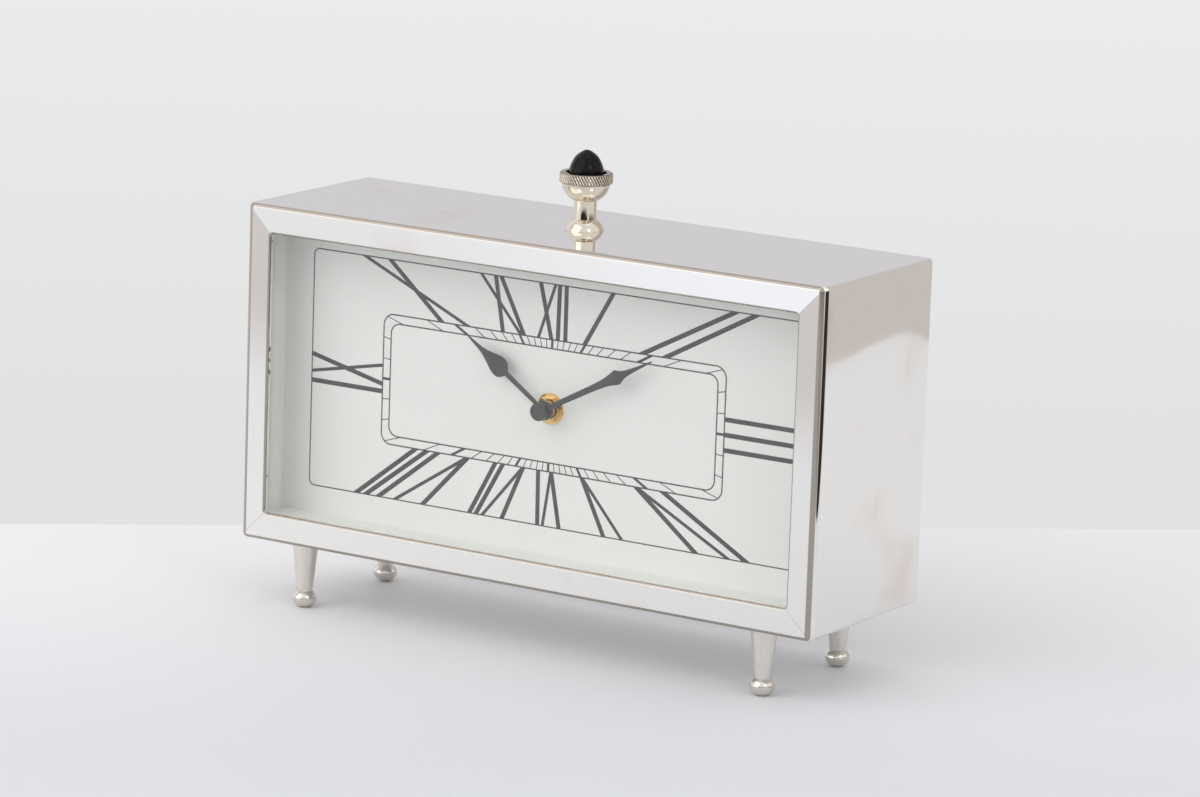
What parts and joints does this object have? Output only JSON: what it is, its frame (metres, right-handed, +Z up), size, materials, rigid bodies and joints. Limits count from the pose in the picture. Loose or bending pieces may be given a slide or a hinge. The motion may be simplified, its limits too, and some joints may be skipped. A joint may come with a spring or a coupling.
{
  "type": "table clock",
  "caption": "Oblong nickel table clock with a glazed Roman dial, ball-footed legs, a domed finial and a quartz movement behind a back door.",
  "frame": {"origin": "on the table, at the middle of the whole clock's bounds", "axes": "+X to the viewer's right along the long side, +Y to the back, +Z up; the dial faces -Y"},
  "size_m": [0.3, 0.092, 0.2197],
  "materials": {
    "nickel": "polished nickel plate",
    "satin_nickel": "turned and polished nickel",
    "steel": "plain steel",
    "glass": "clear float glass",
    "pale_board": "satin off-white paint",
    "ink": "printed dark grey",
    "black_stone": "polished black",
    "black_metal": "satin black",
    "brass": "turned brass",
    "rubber": "matt",
    "black_plastic": "moulded",
    "white_plastic": "moulded",
    "copper": "enamelled wire",
    "green_board": "lacquered",
    "cell_jacket": "plain jacket",
    "block_wood": "sawn",
    "painted_steel": "black powder coat"
  },
  "bodies": {
    "case": {"case_shell": "nickel", "leg_front_left": "satin_nickel", "leg_front_right": "satin_nickel", "leg_back_left": "satin_nickel", "leg_back_right": "satin_nickel", "finial_base": "satin_nickel", "finial_stem": "satin_nickel", "finial_cup": "satin_nickel", "finial_rim": "satin_nickel", "leg_screws": "steel", "leg_washers": "steel", "finial_stud": "steel", "finial_washer": "steel", "finial_nut": "steel", "back_panel_screws": "steel", "door_pin": "steel", "door_magnet": "steel", "contact_plus": "steel", "contact_minus": "steel", "stator": "steel", "quartz_crystal": "steel", "glass_pane": "glass", "spacer_left": "pale_board", "spacer_right": "pale_board", "spacer_bottom": "pale_board", "spacer_top": "pale_board", "dial_plate": "pale_board", "dial_border": "ink", "chapter_ring": "ink", "numerals": "ink", "finial_cabochon": "black_stone", "threaded_bush": "brass", "brass_washer": "brass", "hex_nut": "brass", "rubber_washer": "rubber", "movement_case": "black_plastic", "movement_cover": "black_plastic", "train_plate": "white_plastic", "coil": "copper", "circuit_board": "green_board", "battery": "cell_jacket", "corner_block_low_left": "block_wood", "corner_block_low_right": "block_wood", "corner_block_high_left": "block_wood", "corner_block_high_right": "block_wood", "back_panel": "painted_steel"},
    "minute_work": {"minute_arbor": "brass", "minute_hand": "black_metal", "cap_nut": "black_metal"},
    "hour_work": {"hour_wheel": "white_plastic", "hour_hand": "black_metal"},
    "minute_wheel": {"minute_wheel": "white_plastic"},
    "third_wheel": {"third_wheel": "white_plastic"},
    "rotor": {"rotor": "steel"},
    "setting_knob": {"setting_knob": "black_plastic"},
    "door": {"access_door": "painted_steel", "door_pull": "steel"}
  },
  "joints": [
    {"name": "minute_hand_turn", "type": "hinge", "parent": "case", "child": "minute_work", "pos_m": [0, 0, 0.107], "axis": [0, 1, 0], "continuous": true},
    {"name": "hour_hand_turn", "type": "hinge", "parent": "case", "child": "hour_work", "pos_m": [0, 0, 0.107], "axis": [0, 1, 0], "continuous": true},
    {"name": "minute_wheel_turn", "type": "hinge", "parent": "case", "child": "minute_wheel", "pos_m": [0.01128, 0, 0.1111], "axis": [0, 1, 0], "continuous": true},
    {"name": "third_wheel_turn", "type": "hinge", "parent": "case", "child": "third_wheel", "pos_m": [-0.00817, 0, 0.11517], "axis": [0, 1, 0], "continuous": true},
    {"name": "rotor_turn", "type": "hinge", "parent": "case", "child": "rotor", "pos_m": [-0.0159, 0, 0.12165], "axis": [0, 1, 0], "continuous": true},
    {"name": "setting_knob_turn", "type": "hinge", "parent": "case", "child": "setting_knob", "pos_m": [0.01336, 0, 0.12292], "axis": [0, 1, 0], "continuous": true},
    {"name": "door_hinge", "type": "hinge", "parent": "case", "child": "door", "pos_m": [-0.0478, 0.0438, 0.107], "axis": [0, 0, 1], "range_deg": [0, 105]}
  ],
  "couplings": [
    {"joint": "hour_hand_turn", "follows": "minute_hand_turn", "ratio": 0.083333},
    {"joint": "minute_wheel_turn", "follows": "minute_hand_turn", "ratio": -0.33333},
    {"joint": "third_wheel_turn", "follows": "minute_hand_turn", "ratio": -7.5},
    {"joint": "rotor_turn", "follows": "minute_hand_turn", "ratio": 60},
    {"joint": "setting_knob_turn", "follows": "minute_hand_turn", "ratio": 1}
  ]
}
